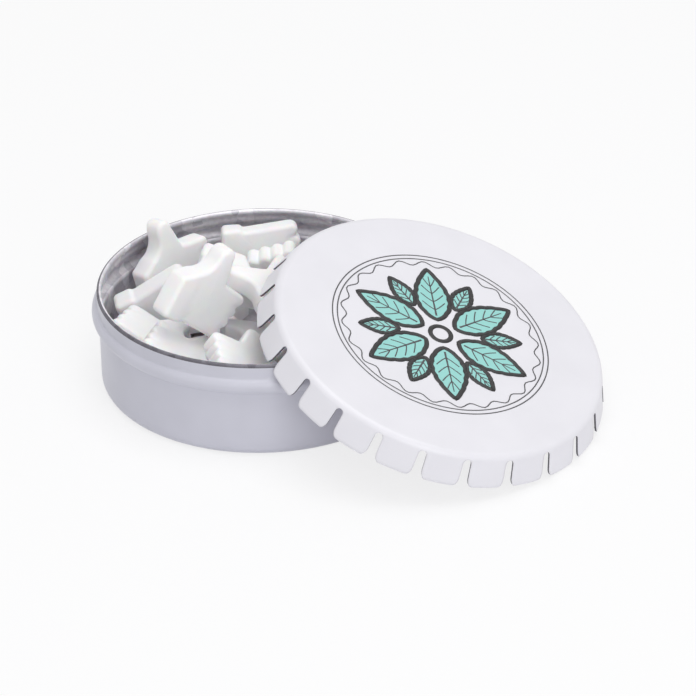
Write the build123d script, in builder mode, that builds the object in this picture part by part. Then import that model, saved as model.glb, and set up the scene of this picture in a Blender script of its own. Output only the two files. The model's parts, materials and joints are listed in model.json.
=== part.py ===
from build123d import *
from math import acos, cos, degrees, radians, sin
import os

# A round snap-lid mint tin, open, with its lid leaning on the rim and the tin full of mints.
# Millimetres, Z up. The origin is the centre of the tin's flat bottom, and someone looking
# at the tin stands on its -Y side.

# Tin: one drawn can with a locking bead below its rim
sheet = 0.3
tin_height = 16.6
wall_radius = 26.2
neck_radius = 26.4
corner_radius = 1.7
bead_height = 12.85
bead_radius = 27.3
bead_round = 1.35
lip_width = 0.75
lip_drop = 0.8

# Lid: one stamped disc whose skirt is cut into spring tabs, sprung open
slot_count = 24
panel_radius = 25.9
shoulder_radius = 1.4
flare_angle = 22
flare_length = 3.9
curl_radius = 0.6
slot_top_depth = 0.75
slot_width = 1.25
slot_foot_width = 1.6
tab_corner_radius = 0.95

# Where the lid leans: the centre of its outer plane, how far it tips and towards where
lid_centre = (28.45, -14.25, 15.2)
lid_tilt = 21.3
lid_tilt_towards = -34.2
first_slot_angle = 194.2

# Mint: a pressed tablet shaped as a fist with its thumb up
mint_thickness = 4.4
cuff_x = -6.5
cuff_half_height = 3.7
cuff_width = 3.3
cuff_step = 0.45
knuckle_foot = Vector(5.2, -4.2)
knuckle_head = Vector(7.0, 3.9)
knuckle_count = 4
knuckle_bulge = 0.35
thumb_root = (2.5, 4.7)
thumb_tip_centre = (0.1, 8.9)
thumb_tip_radius = 1.4
web_centre = (-5.0, 8.3)
web_radius = 3.6

os.makedirs("parts", exist_ok=True)


def finish(piece, label):
    """Name a finished piece and write it to its own file."""
    piece.part.label = label
    export_step(piece.part, f"parts/{label}.step")


def bend(centre, radius, start, end, flats):
    """Points along an arc from one angle to another: a bend in the sheet as a few short flats."""
    step = (end - start) / flats
    return [
        Vector(*centre) + Vector(radius, 0).rotate(Axis.Z, start + index * step)
        for index in range(flats + 1)
    ]


# Tin base: floor, rounded corner, wall, bead, neck and the lip turned inwards
inner_wall = wall_radius - sheet
inner_neck = neck_radius - sheet
lip_inner = neck_radius - lip_width
corner_centre = (wall_radius - corner_radius, corner_radius)
bead_centre = (bead_radius - bead_round, bead_height)


def bead_bend(radius, lower_wall, upper_wall, flats):
    """The bead's round, from where it leaves the wall below to where it meets the neck."""
    start = -degrees(acos((lower_wall - bead_centre[0]) / radius))
    end = degrees(acos((upper_wall - bead_centre[0]) / radius))
    return bend(bead_centre, radius, start, end, flats)


with BuildPart() as tin_base:
    with BuildSketch(Plane.XZ):
        with BuildLine():
            Polyline(
                (0, 0),
                *bend(corner_centre, corner_radius, -90, 0, 3),
                *bead_bend(bead_round, wall_radius, neck_radius, 4),
                (neck_radius, tin_height),
                (lip_inner, tin_height),
                (lip_inner, tin_height - lip_drop),
                (inner_neck, tin_height - lip_drop - sheet),
                *reversed(bead_bend(bead_round - sheet, inner_wall, inner_neck, 2)),
                *reversed(bend(corner_centre, corner_radius - sheet, -90, 0, 1)),
                (0, sheet),
                (0, 0),
            )
        make_face()
    revolve(axis=Axis.Z)
finish(tin_base, "tin_base")

# Lid: its section is drawn on a plane that holds the leaning lid's own axis
tilt = radians(lid_tilt)
towards = radians(lid_tilt_towards)
lid_axis = Vector(sin(tilt) * cos(towards), sin(tilt) * sin(towards), cos(tilt))
downhill = Vector(cos(tilt) * cos(towards), cos(tilt) * sin(towards), -sin(tilt))
across = lid_axis.cross(downhill)
shoulder_centre = Vector(panel_radius, -shoulder_radius)
curl_centre = (
    shoulder_centre
    + Vector(shoulder_radius - curl_radius, -flare_length).rotate(Axis.Z, flare_angle)
)
skirt_depth = curl_radius - curl_centre.Y
with BuildPart() as lid:
    with BuildSketch(Plane(origin=lid_centre, x_dir=downhill, z_dir=-across)):
        with BuildLine():
            Polyline(
                (0, 0),
                *bend(shoulder_centre, shoulder_radius, 90, flare_angle, 3),
                *bend(curl_centre, curl_radius, flare_angle, -90, 2),
                *bend(curl_centre, curl_radius - sheet, -90, flare_angle, 1),
                *bend(shoulder_centre, shoulder_radius - sheet, flare_angle, 90, 1),
                (0, -sheet),
                (0, 0),
            )
        make_face()
    revolve(axis=Axis(lid_centre, lid_axis))

    # Slots: round-topped, wider at the foot, each trimming the corners of the tabs beside it
    slot_planes = []
    for index in range(slot_count):
        angle = radians(first_slot_angle + index * 360 / slot_count)
        outward = downhill * cos(angle) + across * sin(angle)
        slot_planes.append(
            Plane(
                origin=Vector(*lid_centre) + outward * (panel_radius - shoulder_radius),
                x_dir=lid_axis.cross(outward),
                z_dir=outward,
            )
        )
    corner_top = tab_corner_radius - skirt_depth - sheet / 2
    slot_side = slot_foot_width / 2
    with BuildSketch(*slot_planes):
        with BuildLine():
            Polyline(
                *bend(
                    (slot_side + tab_corner_radius, corner_top),
                    tab_corner_radius, -90, -180, 2,
                ),
                *bend((0, -slot_top_depth - slot_width / 2), slot_width / 2, 0, 180, 4),
                *bend(
                    (-slot_side - tab_corner_radius, corner_top),
                    tab_corner_radius, 0, -90, 2,
                ),
                close=True,
            )
        make_face()
    extrude(amount=3 * (shoulder_radius + curl_radius), mode=Mode.SUBTRACT)
finish(lid, "lid")


def mint_plane(centre, heading, lean, lean_towards):
    """A mint's middle plane: it lies flat with its knuckles pointing to the heading, then its
    upper face leans by so many degrees from level, towards a compass direction in plan."""
    tip_axis = Axis((0, 0, 0), (-sin(radians(lean_towards)), cos(radians(lean_towards)), 0))
    length = Vector(cos(radians(heading)), sin(radians(heading)), 0)
    return Plane(
        origin=centre,
        x_dir=length.rotate(tip_axis, lean),
        z_dir=Vector(0, 0, 1).rotate(tip_axis, lean),
    )


def knuckle_edge():
    """The row of knuckles: equal bumps from foot to head, each a flat crown between valleys."""
    step = (knuckle_head - knuckle_foot) / knuckle_count
    crown = step.rotate(Axis.Z, -90).normalized() * knuckle_bulge
    points = []
    for index in range(knuckle_count):
        valley = knuckle_foot + step * index
        points += [valley, valley + step * 0.28 + crown, valley + step * 0.72 + crown]
    return points + [knuckle_head]


def make_mint(label, centre, heading, lean=0, lean_towards=0):
    """One mint, its outline drawn from the cuff round the knuckles and thumb, then extruded."""
    with BuildPart() as mint:
        with BuildSketch(mint_plane(centre, heading, lean, lean_towards)):
            with BuildLine():
                Polyline(
                    (cuff_x, cuff_half_height),
                    (cuff_x, -cuff_half_height),
                    (cuff_x + cuff_width, -cuff_half_height),
                    (cuff_x + cuff_width, cuff_step - cuff_half_height),
                    *knuckle_edge(),
                    thumb_root,
                    *bend(thumb_tip_centre, thumb_tip_radius, -10, 165, 4),
                    *bend(web_centre, web_radius, 5, -75, 3),
                    close=True,
                )
            make_face()
        extrude(amount=mint_thickness / 2, both=True)
    finish(mint, label)


# Hidden mints: level layers from the floor up, each with some mints on a ring, thumbs inwards
ring_radius = 19.8
layer_gap = 0.25
floor_gap = 0.3
ring_layers = [(10, 120, 267, 318.5), (16, 320), (20,)]
middle_mints = [((0, -1.5), 0), ((3, -4), 60)]


def layer_height(layer):
    """How high the middle plane of a level layer's mints lies."""
    return sheet + floor_gap + mint_thickness / 2 + layer * (mint_thickness + layer_gap)


mint_poses = []
for layer, angles in enumerate(ring_layers):
    for around in angles:
        place = Vector(ring_radius, 0, layer_height(layer)).rotate(Axis.Z, around)
        mint_poses.append((place, around + 90))
for layer, (place, heading) in enumerate(middle_mints):
    mint_poses.append(((*place, layer_height(layer)), heading))

# Top mints: tumbled as they fell, each with its centre, heading, lean and where it leans
mint_poses += [
    ((-10, -9, 18), 0, 90, -55),
    ((-15, 15.5, 10), 50, 80, -50),
    ((-17, 6.5, 10), -15, 85, 100),
    ((-0.5, 21, 12), 5, 100, 95),
    ((-7.5, 4, 15), -100, 20, -35),
    ((-18, -4, 8), 25, 155, 175),
    ((-13, -14.5, 10), 0, 145, 165),
    ((-2, -19, 11), -10, 145, 175),
    ((4.5, -2.5, 16), 80, 15, -35),
    ((2, 13, 10), -95, 75, 90),
]
for number, pose in enumerate(mint_poses, start=1):
    make_mint(f"mint_{number:02d}", *pose)
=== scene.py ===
"""A round snap-lid mint tin: white enamelled tinplate, open and heaped with mints, with its
printed lid leaning on the rim. Shapes are worked out in millimetres and stored in metres."""
import json

import bmesh
import bpy
import numpy as np
from mathutils import Matrix, Vector


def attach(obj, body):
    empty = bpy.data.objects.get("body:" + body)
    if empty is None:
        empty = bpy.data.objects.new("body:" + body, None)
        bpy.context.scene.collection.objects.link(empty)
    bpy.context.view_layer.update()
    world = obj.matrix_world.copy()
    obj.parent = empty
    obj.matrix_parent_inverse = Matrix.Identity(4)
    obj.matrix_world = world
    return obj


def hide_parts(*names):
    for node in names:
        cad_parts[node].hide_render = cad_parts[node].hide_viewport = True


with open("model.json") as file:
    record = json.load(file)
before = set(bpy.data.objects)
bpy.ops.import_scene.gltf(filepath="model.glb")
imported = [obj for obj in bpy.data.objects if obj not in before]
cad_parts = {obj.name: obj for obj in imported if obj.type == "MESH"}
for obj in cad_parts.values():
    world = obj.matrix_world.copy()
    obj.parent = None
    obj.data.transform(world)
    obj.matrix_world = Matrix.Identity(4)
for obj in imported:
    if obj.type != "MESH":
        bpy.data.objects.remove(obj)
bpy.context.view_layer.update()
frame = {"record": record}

MM = 0.001
SHEET = 0.3

# Tin section
TIN_HEIGHT = 16.6
WALL_RADIUS = 26.2
NECK_RADIUS = 26.4
CORNER_RADIUS = 1.7
BEAD_HEIGHT = 12.85
BEAD_RADIUS = 27.3
BEAD_ROUND = 1.35
LIP_WIDTH = 0.75
LIP_DROP = 0.8
# How far below the top the outside enamel ends and the rim's painted shade starts, the steps
# round the tin and the rings of points on its flat bottom and straight wall
RIM_SHADE_DEPTH = 0.5
TURNS = 256
BOTTOM_RINGS = 14
WALL_RINGS = 8

# Lid section and slots
SLOT_COUNT = 24
PANEL_RADIUS = 25.9
SHOULDER_RADIUS = 1.4
FLARE_ANGLE = np.radians(22)
FLARE_LENGTH = 3.9
CURL_RADIUS = 0.6
SLOT_TOP_DEPTH = 0.75
SLOT_WIDTH = 1.25
SLOT_FOOT_WIDTH = 1.6
TAB_CORNER_RADIUS = 1.7
# The panel's hollow, how far inside the shoulder it ends, the panel's rings of points and the
# columns across one tab
PANEL_DISH = 0.25
DISH_MARGIN = 2.5
PANEL_RINGS = 40
TAB_COLUMNS = 20

# Where the lid leans
LID_CENTRE = np.array([28.45, -14.25, 15.2])
LID_TILT = np.radians(21.3)
LID_TOWARDS = np.radians(-34.2)
FIRST_SLOT = np.radians(194.2)

# Mint outline: a fist with its thumb up, x towards the knuckles and y towards the thumb
CUFF_X = -6.5
CUFF_HALF_HEIGHT = 3.7
CUFF_WIDTH = 3.3
CUFF_STEP = 0.45
CUFF_CORNER = 0.7
KNUCKLE_FOOT = np.array([5.2, -4.2])
KNUCKLE_HEAD = np.array([7.0, 3.9])
KNUCKLE_COUNT = 4
KNUCKLE_BULGE = 0.75
THUMB_ROOT = (2.5, 4.7)
THUMB_TIP_CENTRE = (0.1, 8.9)
THUMB_TIP_RADIUS = 1.4
WEB_CENTRE = (-5.0, 8.3)
WEB_RADIUS = 3.6
MINT_POINTS = 220

# Mint faces: rounded off to the sides, with a proud cuff and grooves between the fingers
MINT_THICKNESS = 4.4
MINT_EDGE = 0.75
MINT_CROWN = 0.12
MINT_MIDDLE = np.array([0.0, 0.8])
CUFF_PROUD = 0.15
CUFF_SOFTNESS = 0.3
FINGER_GROOVE = 0.22
FINGER_GROOVE_HALF_WIDTH = 0.42
FINGER_REACH = 1.7
FINGER_SLOPE = 0.2
FINGER_SLOPE_REACH = 1.5
MINT_FACE_RINGS = 22
MINT_EDGE_RINGS = 8

# Print: two rings of leaves, each with a leaf's length and width, how far from the centre its
# foot lies and the first leaf's angle, then a ring in the middle, a wave and two rings outside
LEAF_COUNT = 6
LEAF_RINGS = [(11.5, 5.4, 3.2, 14), (6.4, 3.0, 7.0, 44)]
OUTLINE_WIDTH = 0.8
HAIRLINE_WIDTH = 0.2
CENTRE_RING_RADIUS = 1.7
OUTER_RING_RADII = (17.0, 17.8)
WAVE_RADIUS = 16.0
WAVE_HEIGHT = 0.5
WAVE_COUNT = 24
CIRCLE_POINTS = 180
LEAF_POINTS = 61
STRIP_POINTS = 9

# Leaf teeth: how many there are on each side, and their height as a share of the half width
TOOTH_COUNT = 7
TOOTH_HEIGHT = 0.07

# Leaf rib: where it starts and ends along the leaf, as shares of it, and its width at both ends
RIB_SPAN = (0.08, 0.86)
RIB_WIDTHS = (0.34, 0.16)
RIB_POINTS = 24

# Leaf veins: where each leaves the rib and how far it runs along the leaf, as shares of it, how
# far along the leaf's half width is taken, and the share of that width that the vein reaches
VEIN_STARTS = (0.2, 0.36, 0.52, 0.66)
VEIN_RUN = 0.15
VEIN_GAUGE = 0.14
VEIN_REACH = 0.72
VEIN_POINTS = 12

# The share of plain white in the floor as it is looked at, and the surroundings' light
FLOOR_WHITE = 0.75
WORLD_LIGHT = 0.5

# Camera: its place in metres, its sensor and lens in millimetres
CAMERA_PLACE = (0.01382, -0.47616, 0.27651)
VIEW_DIRECTION = Vector((0.0, 0.86828, -0.49607))
CAMERA_ROLL = np.radians(0.59)
CAMERA_SENSOR = 36.0
CAMERA_LENS = 174.894


# Small tools

def linear(hex_colour):
    """An sRGB hex colour as linear RGBA: a channel c becomes ((c + 0.055) / 1.055) ** 2.4, or
    c / 12.92 where it is 0.04045 or less."""
    channels = np.array([int(hex_colour[i:i + 2], 16) for i in (1, 3, 5)]) / 255
    curve = np.where(channels > 0.04045, ((channels + 0.055) / 1.055) ** 2.4, channels / 12.92)
    return (*[float(value) for value in curve], 1.0)


def add(tree, kind, links=None, **settings):
    """Adds one node to a node tree, sets its properties or inputs, and links its inputs."""
    node = tree.nodes.new(kind)
    for key, value in settings.items():
        if hasattr(node, key):
            setattr(node, key, value)
        else:
            node.inputs[key.replace("_", " ")].default_value = value
    for key, source in (links or {}).items():
        tree.links.new(source, node.inputs[key])
    return node


def arc(centre, radius, start, end, count):
    """Points of a circular arc, from one angle in degrees to another, both included."""
    angle = np.radians(np.linspace(start, end, count))
    return np.stack([centre[0] + radius * np.cos(angle), centre[1] + radius * np.sin(angle)], 1)


def make_piece(name, points, faces, materials, body, face_material=None):
    """A mesh object from points in millimetres and faces, riding on a CAD body."""
    mesh = bpy.data.meshes.new(name)
    mesh.from_pydata((np.asarray(points) * MM).tolist(), [], [list(face) for face in faces])
    for material in materials:
        mesh.materials.append(material)
    if face_material is not None:
        mesh.polygons.foreach_set("material_index", np.asarray(face_material, np.int32))
    mesh.polygons.foreach_set("use_smooth", np.ones(len(mesh.polygons), bool))
    mesh.update()
    piece = bpy.data.objects.new(name, mesh)
    bpy.context.scene.collection.objects.link(piece)
    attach(piece, body)
    return piece


def grid_quads(rows, columns, wrap=False):
    """Quads of a grid of points numbered row by row; wrap joins the last column to the first."""
    row = np.arange(rows - 1)[:, None]
    column = np.arange(columns if wrap else columns - 1)[None, :]
    after = (column + 1) % columns
    corners = [
        row * columns + column, row * columns + after,
        (row + 1) * columns + after, (row + 1) * columns + column,
    ]
    return np.stack(np.broadcast_arrays(*corners), -1).reshape(-1, 4)


def revolve(section, turns):
    """A closed shell turned about Z: section runs from one pole to the other, each point (r, z)
    goes to (r cos a, r sin a, z) for equal angles a, and the poles are single points."""
    angle = np.linspace(0, 2 * np.pi, turns, endpoint=False)
    ring = section[1:-1]
    points = np.stack([
        ring[:, :1] * np.cos(angle), ring[:, :1] * np.sin(angle),
        np.broadcast_to(ring[:, 1:], (len(ring), turns)),
    ], -1).reshape(-1, 3)
    quads = grid_quads(len(ring), turns, wrap=True)
    first, last = len(points), len(points) + 1
    around = np.arange(turns)
    after = (around + 1) % turns
    lowest = np.stack([np.full(turns, first), after, around], 1)
    top = (len(ring) - 1) * turns
    highest = np.stack([top + around, top + after, np.full(turns, last)], 1)
    points = np.concatenate([points, [[0, 0, section[0][1]], [0, 0, section[-1][1]]]])
    return points, [*lowest.tolist(), *quads.tolist(), *highest.tolist()]


# Materials. A pattern's scale is 1000 over its size in millimetres: its cells in one metre

def new_material(name):
    """A material with only its output node."""
    material = bpy.data.materials.new(name)
    material.use_nodes = True
    tree = material.node_tree
    tree.nodes.clear()
    return material, tree, add(tree, "ShaderNodeOutputMaterial")


def enamel(name, colour, shade):
    """White baked enamel roller-coated on tinplate: an even, faintly mottled satin gloss."""
    material, tree, output = new_material(name)
    place = add(tree, "ShaderNodeTexCoord").outputs["Object"]
    # The coat's thickness drifts over about 8 mm, which tints it a little
    drift = add(tree, "ShaderNodeTexNoise", {"Vector": place}, Scale=120.0, Detail=2.0)
    tint = add(tree, "ShaderNodeValToRGB", {"Fac": drift.outputs["Fac"]})
    tint.color_ramp.elements[0].color = linear(shade)
    tint.color_ramp.elements[1].color = linear(colour)
    tint.color_ramp.elements[0].position = 0.3
    tint.color_ramp.elements[1].position = 0.7
    # Orange peel of about 0.4 mm, drawn shallow, softens the reflections
    peel = add(tree, "ShaderNodeTexNoise", {"Vector": place}, Scale=2400.0, Detail=1.0)
    relief = add(
        tree, "ShaderNodeBump", {"Height": peel.outputs["Fac"]}, Strength=0.05, Distance=0.00003,
    )
    rough = add(tree, "ShaderNodeMapRange", {"Value": drift.outputs["Fac"]})
    rough.inputs["To Min"].default_value = 0.32
    rough.inputs["To Max"].default_value = 0.36
    shader = add(
        tree, "ShaderNodeBsdfPrincipled",
        {"Base Color": tint.outputs["Color"], "Normal": relief.outputs["Normal"],
         "Roughness": rough.outputs["Result"]},
        IOR=1.5,
    )
    tree.links.new(shader.outputs["BSDF"], output.inputs["Surface"])
    return material


def bare_tinplate(name, dark, light):
    """Hot-dipped tinplate under a thin clear lacquer: dull grey metal, mottled by tin crystals
    a few millimetres across. The lacquer scatters a fifth of the light."""
    material, tree, output = new_material(name)
    place = add(tree, "ShaderNodeTexCoord").outputs["Object"]
    # Spangle about 2.4 mm across, and rolling grain over it, drawn coarse at 0.7 mm to show
    spangle = add(tree, "ShaderNodeTexVoronoi", {"Vector": place}, Scale=420.0)
    grain = add(tree, "ShaderNodeTexNoise", {"Vector": place}, Scale=1500.0, Detail=4.0)
    grain_share = 0.45
    both = add(
        tree, "ShaderNodeMix", {2: spangle.outputs["Color"], 3: grain.outputs["Fac"]},
        data_type="FLOAT",
    )
    both.inputs[0].default_value = grain_share
    tone = add(tree, "ShaderNodeValToRGB", {"Fac": both.outputs[0]})
    tone.color_ramp.elements[0].color = linear(dark)
    tone.color_ramp.elements[1].color = linear(light)
    tone.color_ramp.elements[0].position = 0.25
    tone.color_ramp.elements[1].position = 0.75
    rough = add(tree, "ShaderNodeMapRange", {"Value": both.outputs[0]})
    rough.inputs["To Min"].default_value = 0.45
    rough.inputs["To Max"].default_value = 0.7
    relief = add(
        tree, "ShaderNodeBump", {"Height": grain.outputs["Fac"]}, Strength=0.1, Distance=0.00004,
    )
    shader = add(
        tree, "ShaderNodeBsdfPrincipled",
        {"Base Color": tone.outputs["Color"], "Roughness": rough.outputs["Result"],
         "Normal": relief.outputs["Normal"]},
        Metallic=0.8,
    )
    tree.links.new(shader.outputs["BSDF"], output.inputs["Surface"])
    return material


def pressed_sugar(name, colour, shade):
    """Sugar pressed in a die: a matt, dusty white tablet that lets a little light in."""
    material, tree, output = new_material(name)
    place = add(tree, "ShaderNodeTexCoord").outputs["Object"]
    # The powder's grain, drawn coarse at 0.4 mm to show, and paler patches about 4 mm across
    grain = add(tree, "ShaderNodeTexNoise", {"Vector": place}, Scale=2600.0, Detail=3.0)
    patches = add(tree, "ShaderNodeTexNoise", {"Vector": place}, Scale=260.0, Detail=2.0)
    tint = add(tree, "ShaderNodeValToRGB", {"Fac": patches.outputs["Fac"]})
    tint.color_ramp.elements[0].color = linear(shade)
    tint.color_ramp.elements[1].color = linear(colour)
    tint.color_ramp.elements[0].position = 0.35
    tint.color_ramp.elements[1].position = 0.6
    relief = add(
        tree, "ShaderNodeBump", {"Height": grain.outputs["Fac"]}, Strength=0.25, Distance=0.00006,
    )
    shader = add(
        tree, "ShaderNodeBsdfPrincipled",
        {"Base Color": tint.outputs["Color"], "Normal": relief.outputs["Normal"]},
        Roughness=0.6, IOR=1.5, Subsurface_Weight=0.4, Subsurface_Scale=0.001,
    )
    tree.links.new(shader.outputs["BSDF"], output.inputs["Surface"])
    return material


def printing_ink(name, colour):
    """Ink offset-printed on the enamel under a clear varnish: flat colour, even gloss."""
    material, tree, output = new_material(name)
    place = add(tree, "ShaderNodeTexCoord").outputs["Object"]
    # The varnish is a little duller in spots about 1 mm across
    film = add(tree, "ShaderNodeTexNoise", {"Vector": place}, Scale=900.0, Detail=2.0)
    rough = add(tree, "ShaderNodeMapRange", {"Value": film.outputs["Fac"]})
    rough.inputs["To Min"].default_value = 0.3
    rough.inputs["To Max"].default_value = 0.42
    shader = add(
        tree, "ShaderNodeBsdfPrincipled", {"Roughness": rough.outputs["Result"]},
        Base_Color=linear(colour), IOR=1.5,
    )
    tree.links.new(shader.outputs["BSDF"], output.inputs["Surface"])
    return material


# The tin's coat is the lid's enamel written greyer, as painted shade for its side walls
tin_enamel_painted_shade = enamel("white_enamel_tin_painted_shade", "#CDCDD8", "#C7C7D2")
lid_enamel = enamel("white_enamel_lid", "#E7E6EC", "#E3E2E8")
tinplate = bare_tinplate("bare_tinplate", "#BDBAC1", "#EAE8EC")
# The dark steel colour is painted shade over the tin's rolled rim, and the real darker steel of
# the lid's cut edges
cut_edge_and_rim_shade = bare_tinplate("cut_tinplate_edge_and_painted_rim_shade", "#5C5A61", "#7E7C84")
mint_sugar = pressed_sugar("pressed_sugar", "#FCFCFC", "#F8F8FA")
teal_ink = printing_ink("teal_ink", "#96D3CE")
black_ink = printing_ink("black_ink", "#1B1A1C")
grey_ink = printing_ink("grey_ink", "#4A494D")

# The order of both metal pieces' materials
ENAMEL_FACE, BARE_FACE, EDGE_AND_RIM_SHADE_FACE = 0, 1, 2


# Tin base

def tin_section():
    """The can's section as points (radius, height), from the middle of its underside, out and up
    the wall, over the bead and the rolled rim, down the inside and back to the axis. Gives the
    points and how many of them are on the outside and on the rim."""
    bead_centre = np.array([BEAD_RADIUS - BEAD_ROUND, BEAD_HEIGHT])
    corner_centre = np.array([WALL_RADIUS - CORNER_RADIUS, CORNER_RADIUS])

    def bead_arc(radius, lower_wall, upper_wall, count):
        """The bead's arc between where it meets the wall below and the neck above."""
        start = -np.degrees(np.arccos((lower_wall - bead_centre[0]) / radius))
        end = np.degrees(np.arccos((upper_wall - bead_centre[0]) / radius))
        return arc(bead_centre, radius, start, end, count)

    lip_inner = NECK_RADIUS - LIP_WIDTH
    lip_foot = TIN_HEIGHT - LIP_DROP
    roll = LIP_WIDTH / 2
    inner_wall = WALL_RADIUS - SHEET
    inner_neck = NECK_RADIUS - SHEET
    # Extra rings on the straight walls keep their quads short, so that they shade evenly
    bottom_radii = np.linspace(0, corner_centre[0], BOTTOM_RINGS)
    outer_wall_heights = np.linspace(2.5, 11.2, WALL_RINGS)
    inner_wall_heights = np.linspace(11.0, 2.5, WALL_RINGS)
    outer_neck_heights = (14.6, 15.4, TIN_HEIGHT - RIM_SHADE_DEPTH)
    inner_neck_foot = 14.8
    outside = np.concatenate([
        np.stack([bottom_radii[:-1], np.zeros(BOTTOM_RINGS - 1)], 1),
        arc(corner_centre, CORNER_RADIUS, -90, 0, 9),
        [[WALL_RADIUS, z] for z in outer_wall_heights],
        bead_arc(BEAD_ROUND, WALL_RADIUS, NECK_RADIUS, 19),
        [[NECK_RADIUS, z] for z in outer_neck_heights],
    ])
    rim = arc((NECK_RADIUS - roll, TIN_HEIGHT - roll), roll, 0, 180, 11)
    inside = np.concatenate([
        [[lip_inner, lip_foot], [inner_neck, lip_foot - SHEET], [inner_neck, inner_neck_foot]],
        bead_arc(BEAD_ROUND - SHEET, inner_wall, inner_neck, 15)[::-1],
        [[inner_wall, z] for z in inner_wall_heights],
        arc(corner_centre, CORNER_RADIUS - SHEET, 0, -90, 8),
        np.stack([bottom_radii[::-1][1:], np.full(BOTTOM_RINGS - 1, SHEET)], 1),
    ])
    return np.concatenate([outside, rim, inside]), len(outside), len(rim)


section, outside_count, rim_count = tin_section()
tin_points, tin_faces = revolve(section, TURNS)
# Each face's band counts the section's points before it
band = np.concatenate([
    np.zeros(TURNS, int),
    np.repeat(np.arange(len(section) - 3), TURNS) + 1,
    np.full(TURNS, len(section)),
])
# Enamel up to a little below the top, then dark steel as painted shade over that band and the
# outer half of the roll, bright tinplate inside
roll_top = outside_count + rim_count // 2
tin_finish = np.where(
    band < outside_count - 1, ENAMEL_FACE, np.where(band < roll_top, EDGE_AND_RIM_SHADE_FACE, BARE_FACE),
)
tin = make_piece(
    "tin_base_sheet", tin_points, tin_faces, [tin_enamel_painted_shade, tinplate, cut_edge_and_rim_shade],
    "base", tin_finish,
)
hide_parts("tin_base")


# Lid

towards = np.array([np.cos(LID_TOWARDS), np.sin(LID_TOWARDS)])
lid_axis = np.array([*(np.sin(LID_TILT) * towards), np.cos(LID_TILT)])
lid_downhill = np.array([*(np.cos(LID_TILT) * towards), -np.sin(LID_TILT)])
lid_across = np.cross(lid_axis, lid_downhill)


def on_lid(x, y, height):
    """Points of the leaning lid in the tin's frame: its centre plus x times its downhill
    direction, y times the direction across, and the height times its axis."""
    return (
        LID_CENTRE + np.asarray(x)[..., None] * lid_downhill
        + np.asarray(y)[..., None] * lid_across + np.asarray(height)[..., None] * lid_axis
    )


def dish(radius):
    """The open panel's hollow: the depth times (1 - s ** 2) ** 2, where s is the share of the
    radius, so that it is deepest in the middle and runs out softly near the shoulder."""
    share = np.clip(np.asarray(radius) / (PANEL_RADIUS - DISH_MARGIN), 0, 1)
    return -PANEL_DISH * (1 - share ** 2) ** 2


def slot_half_width(depth, foot):
    """Half the slot's width at a depth below the panel: a round top, sides that widen to the
    foot, and the rounded corners of the tabs beside it."""
    top_centre = SLOT_TOP_DEPTH + SLOT_WIDTH / 2
    top = np.sqrt(np.clip((SLOT_WIDTH / 2) ** 2 - (top_centre - depth) ** 2, 0, None))
    share = np.clip((depth - top_centre) / (foot - top_centre), 0, 1)
    side = SLOT_WIDTH / 2 + share * (SLOT_FOOT_WIDTH - SLOT_WIDTH) / 2
    into = np.clip(depth - (foot - TAB_CORNER_RADIUS), 0, TAB_CORNER_RADIUS)
    corner = TAB_CORNER_RADIUS - np.sqrt(TAB_CORNER_RADIUS ** 2 - into ** 2)
    width = np.where(depth < top_centre, top, side + corner)
    return np.where(depth <= SLOT_TOP_DEPTH, 0, width)


def lid_sheet():
    """The lid's outer face: a section of (radius, height) carried round the lid's axis. Between
    two slots the angle runs over one tab, drawn in by the slot's half width over the radius."""
    square = np.array([np.cos(FLARE_ANGLE), np.sin(FLARE_ANGLE)])
    along = np.array([np.sin(FLARE_ANGLE), -np.cos(FLARE_ANGLE)])
    shoulder = np.array([PANEL_RADIUS, -SHOULDER_RADIUS])
    curl = shoulder + (SHOULDER_RADIUS - CURL_RADIUS) * square + FLARE_LENGTH * along
    flare_top = shoulder + SHOULDER_RADIUS * square
    flare_foot = curl + CURL_RADIUS * square
    radii = np.linspace(0, PANEL_RADIUS, PANEL_RINGS)[1:-1]
    section = np.concatenate([
        np.stack([radii, dish(radii)], 1),
        arc(shoulder, SHOULDER_RADIUS, 90, np.degrees(FLARE_ANGLE), 25),
        flare_top + np.linspace(0, 1, 16)[1:-1, None] * (flare_foot - flare_top),
        arc(curl, CURL_RADIUS, np.degrees(FLARE_ANGLE), -90, 13),
    ])
    half = slot_half_width(-section[:, 1], CURL_RADIUS - curl[1])
    gap = np.arcsin(half / section[:, 0])[:, None, None]
    pitch = 2 * np.pi / SLOT_COUNT
    tab_start = FIRST_SLOT + pitch * np.arange(SLOT_COUNT)[None, :, None] + gap
    angle = tab_start + np.linspace(0, 1, TAB_COLUMNS)[None, None, :] * (pitch - 2 * gap)
    radius = section[:, 0][:, None, None]
    height = np.broadcast_to(section[:, 1][:, None, None], angle.shape)
    points = on_lid(radius * np.cos(angle), radius * np.sin(angle), height)
    # One tab's quads, repeated for every tab, and a fan round the middle
    per_row = SLOT_COUNT * TAB_COLUMNS
    one = grid_quads(len(section), TAB_COLUMNS)
    row_of, column_of = one // TAB_COLUMNS, one % TAB_COLUMNS
    faces = np.concatenate([
        row_of * per_row + index * TAB_COLUMNS + column_of for index in range(SLOT_COUNT)
    ])
    points = np.concatenate([points.reshape(-1, 3), on_lid(0.0, 0.0, dish(0.0))[None]])
    around = np.arange(per_row)
    fan = np.stack([np.full(per_row, len(points) - 1), around, (around + 1) % per_row], 1)
    return points, [*faces.tolist(), *fan.tolist()]


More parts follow.
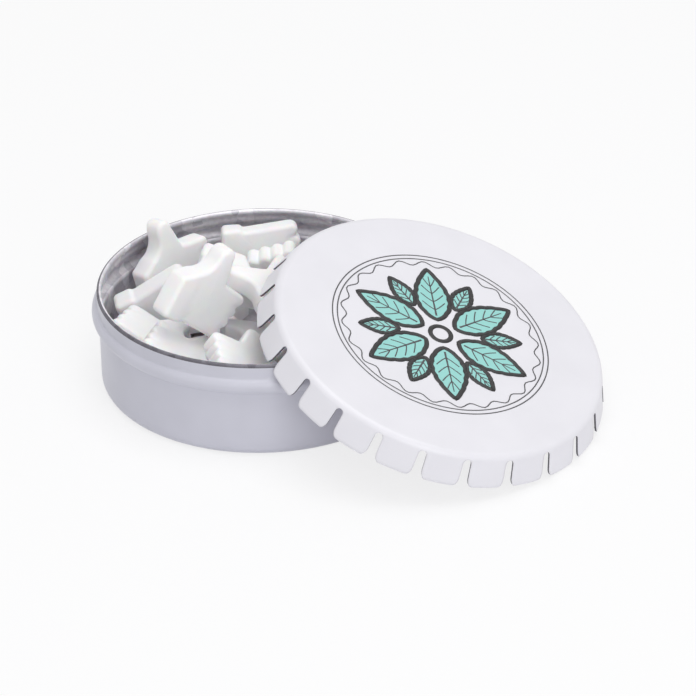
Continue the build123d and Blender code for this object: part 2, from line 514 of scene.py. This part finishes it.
lid_points, lid_faces = lid_sheet()
lid = make_piece(
    "lid_sheet", lid_points, lid_faces, [lid_enamel, tinplate, cut_edge_and_rim_shade], "lid",
)
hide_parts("lid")
# Above the slots the tabs' side columns meet: they are joined, and the faces turned outwards
work = bmesh.new()
work.from_mesh(lid.data)
bmesh.ops.remove_doubles(work, verts=work.verts, dist=1e-7)
bmesh.ops.recalc_face_normals(work, faces=work.faces)
highest = max(work.faces, key=lambda face: face.calc_center_median().dot(Vector(lid_axis)))
if highest.normal.dot(Vector(lid_axis)) < 0:
    bmesh.ops.reverse_faces(work, faces=work.faces)
work.to_mesh(lid.data)
work.free()
wall = lid.modifiers.new("sheet_thickness", "SOLIDIFY")
wall.thickness = SHEET * MM
wall.offset = -1.0
wall.material_offset = BARE_FACE
wall.material_offset_rim = EDGE_AND_RIM_SHADE_FACE


# Mints

def evened(line, times):
    """A closed line with each point averaged with its two neighbours, so many times over."""
    for _ in range(times):
        line = (np.roll(line, 1, 0) + 2 * line + np.roll(line, -1, 0)) / 4
    return line


def mint_outline():
    """The fist's outline, anticlockwise from the cuff: a closed line of corners and arcs,
    resampled evenly and rounded by averaging each point with its neighbours. The knuckles bulge
    by the size of a sine wave, so each half swing makes one of them."""
    along = np.linspace(0, 1, 61)
    row = KNUCKLE_HEAD - KNUCKLE_FOOT
    outwards = np.array([row[1], -row[0]]) / np.linalg.norm(row)
    swell = np.abs(np.sin(KNUCKLE_COUNT * np.pi * along))[:, None] ** 0.8
    knuckles = KNUCKLE_FOOT + along[:, None] * row + KNUCKLE_BULGE * swell * outwards
    cuff_end = CUFF_X + CUFF_WIDTH
    corner_x = CUFF_X + CUFF_CORNER
    corner_y = CUFF_HALF_HEIGHT - CUFF_CORNER
    # The step from the cuff in to the hand slants a little
    step_start = [cuff_end - 0.1, -CUFF_HALF_HEIGHT]
    step_end = [cuff_end + 0.2, CUFF_STEP - CUFF_HALF_HEIGHT]
    corners = np.concatenate([
        arc((corner_x, corner_y), CUFF_CORNER, 90, 180, 7),
        arc((corner_x, -corner_y), CUFF_CORNER, 180, 270, 7),
        [step_start, step_end],
        knuckles,
        [THUMB_ROOT],
        arc(THUMB_TIP_CENTRE, THUMB_TIP_RADIUS, -10, 165, 13),
        arc(WEB_CENTRE, WEB_RADIUS, 5, -75, 11),
    ])
    closed = np.concatenate([corners, corners[:1]])
    length = np.concatenate([[0], np.cumsum(np.linalg.norm(np.diff(closed, axis=0), axis=1))])
    even = np.linspace(0, length[-1], MINT_POINTS, endpoint=False)
    line = np.stack([np.interp(even, length, closed[:, axis]) for axis in (0, 1)], 1)
    return evened(line, 2)


def face_height(place):
    """How far the pressed face stands from the middle plane at each (x, y). The hand lies lower
    than the cuff by a soft step in x. The grooves between the fingers are bell curves of the
    distance to the nearest valley of the knuckle row, fading with the distance in from it, and
    near the row the whole face slopes down by the square of the nearness."""
    row = KNUCKLE_HEAD - KNUCKLE_FOOT
    length = np.linalg.norm(row)
    hand = 1 / (1 + np.exp((CUFF_X + CUFF_WIDTH - place[..., 0]) / CUFF_SOFTNESS))
    along = (place - KNUCKLE_FOOT) @ row / length ** 2 * KNUCKLE_COUNT
    inwards = (place - KNUCKLE_FOOT) @ np.array([-row[1], row[0]]) / length
    nearest = np.clip(np.round(along), 1, KNUCKLE_COUNT - 1)
    valley = np.abs(along - nearest) * length / KNUCKLE_COUNT
    fade = np.clip(1 - inwards / FINGER_REACH, 0, 1)
    groove = FINGER_GROOVE * np.exp(-(valley / FINGER_GROOVE_HALF_WIDTH) ** 2) * fade
    slope = FINGER_SLOPE * np.clip(1 - inwards / FINGER_SLOPE_REACH, 0, 1) ** 2
    return MINT_THICKNESS / 2 - CUFF_PROUD * hand - groove - slope


def mint_shell():
    """A pressed tablet: the outline drawn in by a quarter circle at both edges, square to an
    evened copy of it, and its two faces filled by rings that shrink to a point, each at its
    face height less a shallow crown."""
    line = mint_outline()
    calm = evened(line, 16)
    tangent = np.roll(calm, -1, 0) - np.roll(calm, 1, 0)
    normal = np.stack([tangent[:, 1], -tangent[:, 0]], 1)
    normal /= np.linalg.norm(normal, axis=1)[:, None]
    face_edge = line - MINT_EDGE * normal
    rings = []
    # The rings of a face lie a little closer together towards its edge
    for share in np.linspace(0, 1, MINT_FACE_RINGS)[1:-1] ** 0.8:
        ring = MINT_MIDDLE + share * (face_edge - MINT_MIDDLE)
        rings.append(np.column_stack([ring, face_height(ring) - MINT_CROWN * share ** 2]))
    edge_height = face_height(face_edge) - MINT_CROWN
    for turn in np.radians(np.linspace(90, 0, MINT_EDGE_RINGS)):
        ring = line - MINT_EDGE * (1 - np.cos(turn)) * normal
        rings.append(np.column_stack([ring, edge_height - MINT_EDGE * (1 - np.sin(turn))]))
    upper = np.stack(rings)
    both = np.concatenate([upper, upper[::-1] * [1, 1, -1]])
    count = len(line)
    faces = grid_quads(len(both), count, wrap=True)[:, ::-1].tolist()
    top_height = face_height(MINT_MIDDLE)
    points = np.concatenate([
        both.reshape(-1, 3), [[*MINT_MIDDLE, top_height], [*MINT_MIDDLE, -top_height]],
    ])
    around = np.arange(count)
    after = (around + 1) % count
    top, bottom = len(points) - 2, len(points) - 1
    last = (len(both) - 1) * count
    faces += np.stack([np.full(count, top), around, after], 1).tolist()
    faces += np.stack([last + around, np.full(count, bottom), last + after], 1).tolist()
    return points, faces


def turn_about(axis, angle, vector):
    """Rodrigues' formula: a vector turned about a unit axis by an angle."""
    return (
        vector * np.cos(angle) + np.cross(axis, vector) * np.sin(angle)
        + axis * np.dot(axis, vector) * (1 - np.cos(angle))
    )


def placed(points, centre, heading, lean=0.0, lean_towards=0.0):
    """A mint's points laid flat with its knuckles to the heading, then leaned towards a
    compass direction, about its centre."""
    heading, lean, lean_towards = np.radians([heading, lean, lean_towards])
    axis = np.array([-np.sin(lean_towards), np.cos(lean_towards), 0.0])
    length = turn_about(axis, lean, np.array([np.cos(heading), np.sin(heading), 0.0]))
    upwards = turn_about(axis, lean, np.array([0.0, 0.0, 1.0]))
    return np.asarray(centre) + points @ np.stack([length, np.cross(upwards, length), upwards])


# The heap: hidden mints in level layers, some on a ring with their thumbs inwards, and over them
# the tumbled mints
RING_RADIUS = 19.8
LAYER_GAP = 0.25
FLOOR_GAP = 0.3
RING_LAYERS = [(10, 120, 267, 318.5), (16, 320), (20,)]
MIDDLE_MINTS = [((0, -1.5), 0), ((3, -4), 60)]


def layer_height(layer):
    """How high the middle plane of a level layer's mints lies."""
    return SHEET + FLOOR_GAP + MINT_THICKNESS / 2 + layer * (MINT_THICKNESS + LAYER_GAP)


mint_poses = []
for layer, angles in enumerate(RING_LAYERS):
    for around in angles:
        turn = np.radians(around)
        place = (RING_RADIUS * np.cos(turn), RING_RADIUS * np.sin(turn), layer_height(layer))
        mint_poses.append((place, around + 90))
for layer, (place, heading) in enumerate(MIDDLE_MINTS):
    mint_poses.append(((*place, layer_height(layer)), heading))
# Each tumbled mint's centre, heading, lean and where it leans
mint_poses += [
    ((-10, -9, 18), 0, 90, -55),
    ((-15, 15.5, 10), 50, 80, -50),
    ((-17, 6.5, 10), -15, 85, 100),
    ((-0.5, 21, 12), 5, 100, 95),
    ((-7.5, 4, 15), -100, 20, -35),
    ((-18, -4, 8), 25, 155, 175),
    ((-13, -14.5, 10), 0, 145, 165),
    ((-2, -19, 11), -10, 145, 175),
    ((4.5, -2.5, 16), 80, 15, -35),
    ((2, 13, 10), -95, 75, 90),
]
shell, shell_faces = mint_shell()
body_of_node = {
    node: body for body, nodes in frame["record"]["behaviour"]["bodies"].items() for node in nodes
}
for number, pose in enumerate(mint_poses, start=1):
    node = f"mint_{number:02d}"
    mint = make_piece(
        f"{node}_tablet", placed(shell, *pose), shell_faces, [mint_sugar],
        body_of_node[node],
    )
    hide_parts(node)


# Printed design on the lid

def ribbon(path, width, closed):
    """A flat line: each point of a path in the lid's plane is pushed half the width to both
    sides, square to the path. Gives the points (x, y) and the faces."""
    if closed:
        tangent = np.roll(path, -1, 0) - np.roll(path, 1, 0)
    else:
        tangent = np.gradient(path, axis=0)
    side = np.stack([-tangent[:, 1], tangent[:, 0]], 1)
    side /= np.linalg.norm(side, axis=1)[:, None]
    width = np.broadcast_to(np.asarray(width, float), len(path))[:, None]
    edges = np.stack([path - side * width / 2, path + side * width / 2])
    quads = grid_quads(2, len(path), wrap=closed)
    return edges.reshape(-1, 2), quads


def circle(radius):
    """Points round the lid's centre. The radius is one number or one for each point."""
    around = np.linspace(0, 2 * np.pi, CIRCLE_POINTS, endpoint=False)
    return np.stack([radius * np.cos(around), radius * np.sin(around)], 1)


def turned(points, angle):
    """Points in the lid's plane turned about its centre by an angle in degrees."""
    angle = np.radians(angle)
    return points @ np.array([[np.cos(angle), np.sin(angle)], [-np.sin(angle), np.cos(angle)]])


class Ink:
    """One ink of the print: flat shapes gathered into one mesh, laid on the dished panel."""

    def __init__(self):
        self.points, self.faces, self.total = [], [], 0

    def lay(self, points, faces):
        """Adds one flat shape to this ink."""
        self.points.append(points)
        self.faces += (np.asarray(faces) + self.total).tolist()
        self.total += len(points)

    def print_on_lid(self, name, material, height, thickness):
        """Makes the ink's film: its shapes at a height over the dish, facing outwards."""
        flat = np.concatenate(self.points)
        lift = dish(np.linalg.norm(flat, axis=1)) + height
        points = on_lid(flat[:, 0], flat[:, 1], lift)
        piece = make_piece(name, points, self.faces, [material], "lid")
        work = bmesh.new()
        work.from_mesh(piece.data)
        for face in work.faces:
            if face.normal.dot(Vector(lid_axis)) < 0:
                face.normal_flip()
        work.to_mesh(piece.data)
        work.free()
        film = piece.modifiers.new("ink_film", "SOLIDIFY")
        film.thickness = thickness * MM
        film.offset = -1.0


teal, black, hairline = Ink(), Ink(), Ink()


def leaf_edge(length, width):
    """One long side of a mint leaf that lies along +x: its half width is a sine of the share
    along it, held fuller near the foot by powers just under one, times shallow teeth that are
    the size of a faster sine."""
    share = np.linspace(0, 1, LEAF_POINTS)
    teeth = 1 + TOOTH_HEIGHT * np.abs(np.sin(TOOTH_COUNT * np.pi * share))
    half = width / 2 * np.sin(np.pi * share ** 0.8) ** 0.85 * teeth
    return np.stack([share * length, half], 1)


def print_leaf(length, width, foot, angle):
    """One leaf: a teal fill of strips across it, a black outline, and a grey rib that thins
    towards the tip with four pairs of veins, which bow by a power of the share along them."""
    upper = leaf_edge(length, width)
    across = np.linspace(1, -1, STRIP_POINTS)
    strips = np.stack([upper[:, :1] * np.ones(STRIP_POINTS), upper[:, 1:] * across], -1)
    fill = strips.reshape(-1, 2) + [foot, 0]
    teal.lay(turned(fill, angle), grid_quads(LEAF_POINTS, STRIP_POINTS))
    outline = np.concatenate([upper, (upper * [1, -1])[::-1][1:-1]])
    edge, quads = ribbon(outline + [foot, 0], OUTLINE_WIDTH, True)
    black.lay(turned(edge, angle), quads)
    along = np.linspace(*RIB_SPAN, RIB_POINTS) * length + foot
    rib = np.stack([along, np.zeros(RIB_POINTS)], 1)
    points, quads = ribbon(rib, np.linspace(*RIB_WIDTHS, RIB_POINTS), False)
    hairline.lay(turned(points, angle), quads)
    share = np.linspace(0, 1, VEIN_POINTS)
    for side in (1, -1):
        for start in VEIN_STARTS:
            reach = width / 2 * np.sin(np.pi * (start + VEIN_GAUGE) ** 0.8) * VEIN_REACH
            along = (start + VEIN_RUN * share) * length + foot
            vein = np.stack([along, side * reach * share ** 0.8], 1)
            points, quads = ribbon(vein, HAIRLINE_WIDTH, False)
            hairline.lay(turned(points, angle), quads)


for length, width, foot, first_angle in LEAF_RINGS:
    for index in range(LEAF_COUNT):
        print_leaf(length, width, foot, first_angle + index * 360 / LEAF_COUNT)
black.lay(*ribbon(circle(CENTRE_RING_RADIUS), OUTLINE_WIDTH, True))
for radius in OUTER_RING_RADII:
    hairline.lay(*ribbon(circle(radius), HAIRLINE_WIDTH, True))
swing = np.cos(WAVE_COUNT * np.linspace(0, 2 * np.pi, CIRCLE_POINTS, endpoint=False))
hairline.lay(*ribbon(circle(WAVE_RADIUS + WAVE_HEIGHT * swing), HAIRLINE_WIDTH, True))
teal.print_on_lid("lid_print_teal", teal_ink, height=0.02, thickness=0.015)
black.print_on_lid("lid_print_black", black_ink, height=0.04, thickness=0.015)
hairline.print_on_lid("lid_print_hairlines", grey_ink, height=0.03, thickness=0.008)


# Floor, light and camera

def seen_directly(tree):
    """A value of 1 for rays from the camera, off mirroring surfaces and through glass, else 0."""
    rays = add(tree, "ShaderNodeLightPath")
    mirrored = add(
        tree, "ShaderNodeMath",
        {0: rays.outputs["Is Glossy Ray"], 1: rays.outputs["Is Transmission Ray"]},
        operation="MAXIMUM",
    )
    seen = add(
        tree, "ShaderNodeMath", {0: rays.outputs["Is Camera Ray"], 1: mirrored.outputs[0]},
        operation="MAXIMUM",
    )
    return seen.outputs[0]


def plain_floor():
    """A pale paper floor: mostly plain white where it is looked at, so that it stays white and
    keeps a light shadow, and matt white paper for the light it gives back."""
    material, tree, output = new_material("white_paper_floor")
    paper = add(tree, "ShaderNodeBsdfPrincipled", Base_Color=linear("#F4F4F6"), Roughness=0.9)
    white = add(tree, "ShaderNodeEmission", Color=(1, 1, 1, 1), Strength=1.0)
    share = add(tree, "ShaderNodeMath", {0: seen_directly(tree)}, operation="MULTIPLY")
    share.inputs[1].default_value = FLOOR_WHITE
    mix = add(
        tree, "ShaderNodeMixShader",
        {0: share.outputs[0], 1: paper.outputs["BSDF"], 2: white.outputs["Emission"]},
    )
    tree.links.new(mix.outputs[0], output.inputs["Surface"])
    mesh = bpy.data.meshes.new("floor")
    reach = 3.0
    mesh.from_pydata(
        [(-reach, -reach, 0), (reach, -reach, 0), (reach, reach, 0), (-reach, reach, 0)],
        [], [(0, 1, 2, 3)],
    )
    mesh.materials.append(material)
    floor = bpy.data.objects.new("floor", mesh)
    bpy.context.scene.collection.objects.link(floor)


def soft_lamp(name, place, aim, size, power):
    """A square area lamp in metres and watts, turned to face a point."""
    lamp = bpy.data.lights.new(name, "AREA")
    lamp.size = size
    lamp.energy = power
    holder = bpy.data.objects.new(name, lamp)
    holder.location = place
    holder.rotation_mode = "QUATERNION"
    holder.rotation_quaternion = (Vector(aim) - Vector(place)).to_track_quat("-Z", "Y")
    bpy.context.scene.collection.objects.link(holder)


def plain_world():
    """Even white surroundings, brighter to the camera and to reflections than as light."""
    world = bpy.data.worlds.new("studio")
    world.use_nodes = True
    tree = world.node_tree
    tree.nodes.clear()
    output = add(tree, "ShaderNodeOutputWorld")
    light = add(tree, "ShaderNodeBackground", Color=(1, 1, 1, 1), Strength=WORLD_LIGHT)
    white = add(tree, "ShaderNodeBackground", Color=(1, 1, 1, 1), Strength=1.0)
    mix = add(
        tree, "ShaderNodeMixShader",
        {0: seen_directly(tree), 1: light.outputs[0], 2: white.outputs[0]},
    )
    tree.links.new(mix.outputs[0], output.inputs["Surface"])
    bpy.context.scene.world = world


plain_floor()
plain_world()
soft_lamp("top_softbox", place=(0.05, -0.05, 0.6), aim=(0.01, 0, 0), size=0.5, power=1.75)
soft_lamp("front_softbox", place=(0.25, -0.72, 0.38), aim=(0.0, 0, 0.01), size=0.5, power=1.7)

camera_data = bpy.data.cameras.new("camera")
camera_data.sensor_width = CAMERA_SENSOR
camera_data.lens = CAMERA_LENS
camera = bpy.data.objects.new("camera", camera_data)
level_right = Vector((1.0, 0.0, 0.0))
level_up = level_right.cross(VIEW_DIRECTION)
right = level_right * np.cos(CAMERA_ROLL) - level_up * np.sin(CAMERA_ROLL)
up = level_right * np.sin(CAMERA_ROLL) + level_up * np.cos(CAMERA_ROLL)
turn = Matrix((right, up, -VIEW_DIRECTION)).transposed().to_4x4()
camera.matrix_world = Matrix.Translation(CAMERA_PLACE) @ turn
bpy.context.scene.collection.objects.link(camera)
bpy.context.scene.camera = camera

bpy.context.scene.view_settings.view_transform = "Standard"
